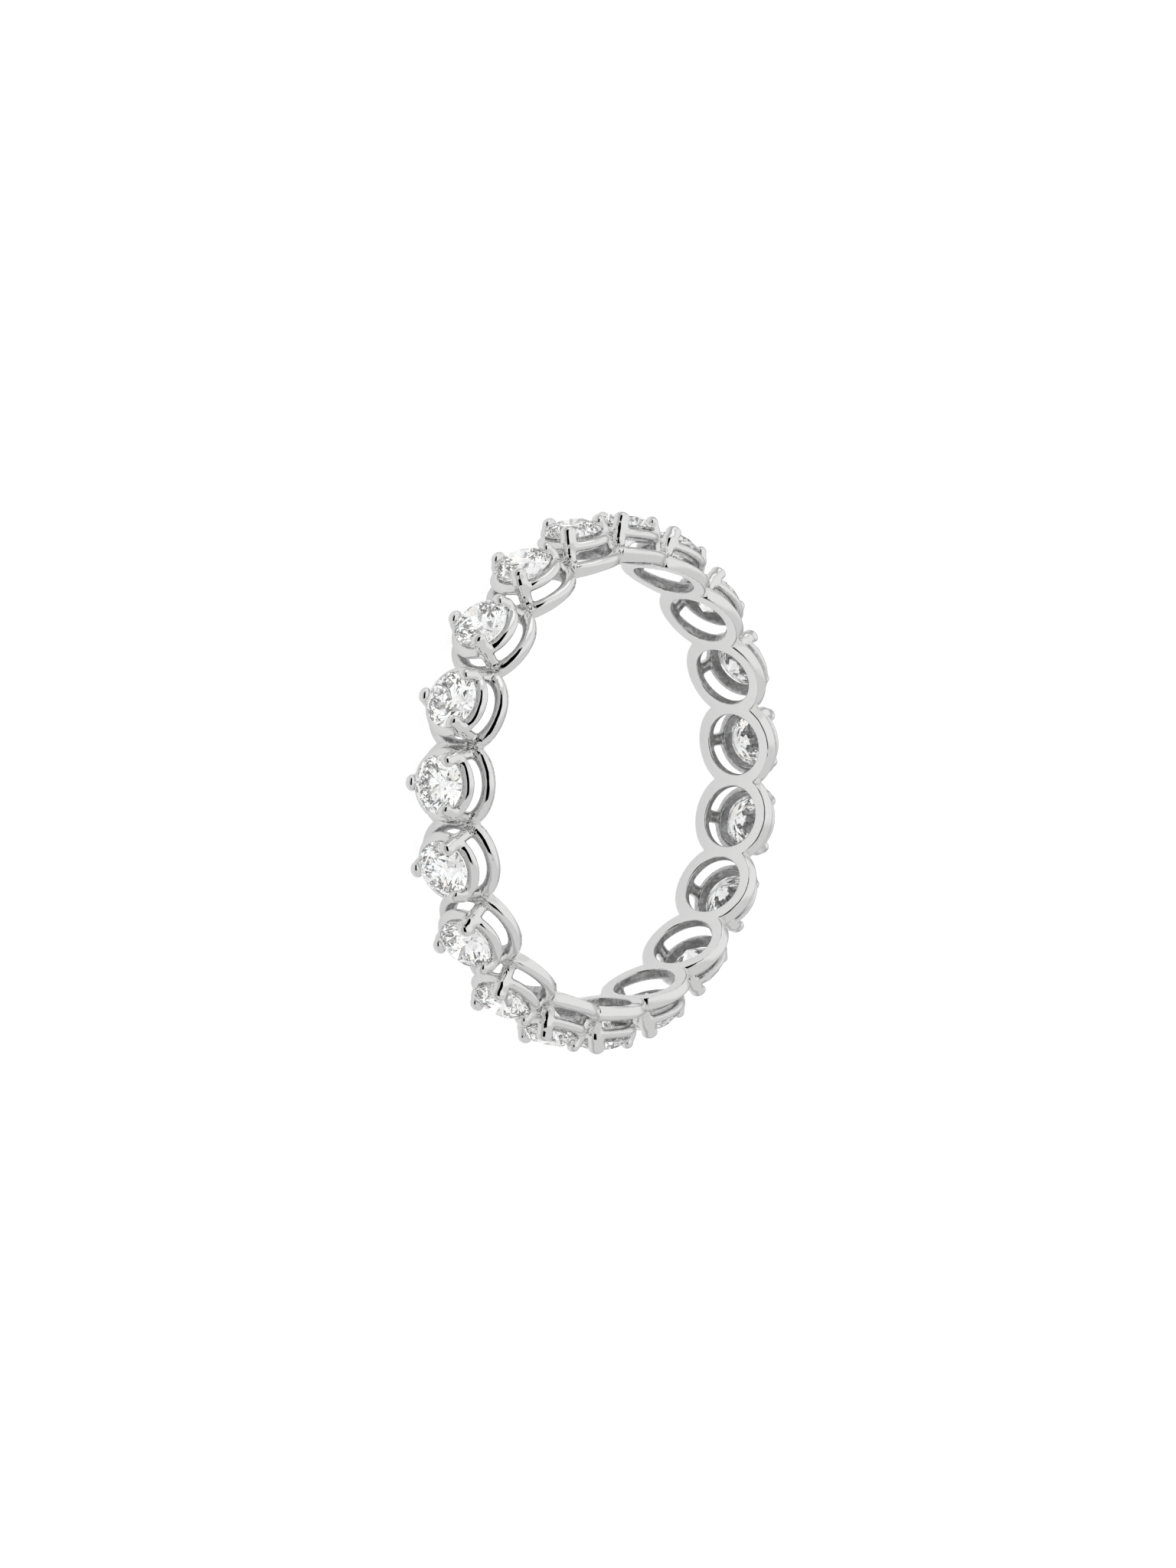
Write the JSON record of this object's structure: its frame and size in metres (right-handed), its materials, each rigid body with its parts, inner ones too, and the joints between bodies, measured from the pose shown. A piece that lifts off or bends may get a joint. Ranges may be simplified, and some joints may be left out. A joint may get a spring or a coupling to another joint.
{
  "type": "eternity ring",
  "caption": "Finger ring set all the way round with round brilliant stones, each in a three-prong setting on a wide base ring soldered to its neighbours.",
  "frame": {"origin": "on the axis of the finger hole, level with the edge that the ring lies on", "axes": "+Z along the finger hole and up, +X through the middle of the first setting"},
  "size_m": [0.0208, 0.0208, 0.0036],
  "materials": {
    "white_gold": "polished, rhodium plated",
    "diamond": "polished facets"
  },
  "bodies": {
    "root": {"setting": "white_gold", "stone_01": "diamond", "stone_02": "diamond", "stone_03": "diamond", "stone_04": "diamond", "stone_05": "diamond", "stone_06": "diamond", "stone_07": "diamond", "stone_08": "diamond", "stone_09": "diamond", "stone_10": "diamond", "stone_11": "diamond", "stone_12": "diamond", "stone_13": "diamond", "stone_14": "diamond", "stone_15": "diamond", "stone_16": "diamond", "stone_17": "diamond", "stone_18": "diamond", "stone_19": "diamond"}
  },
  "joints": []
}
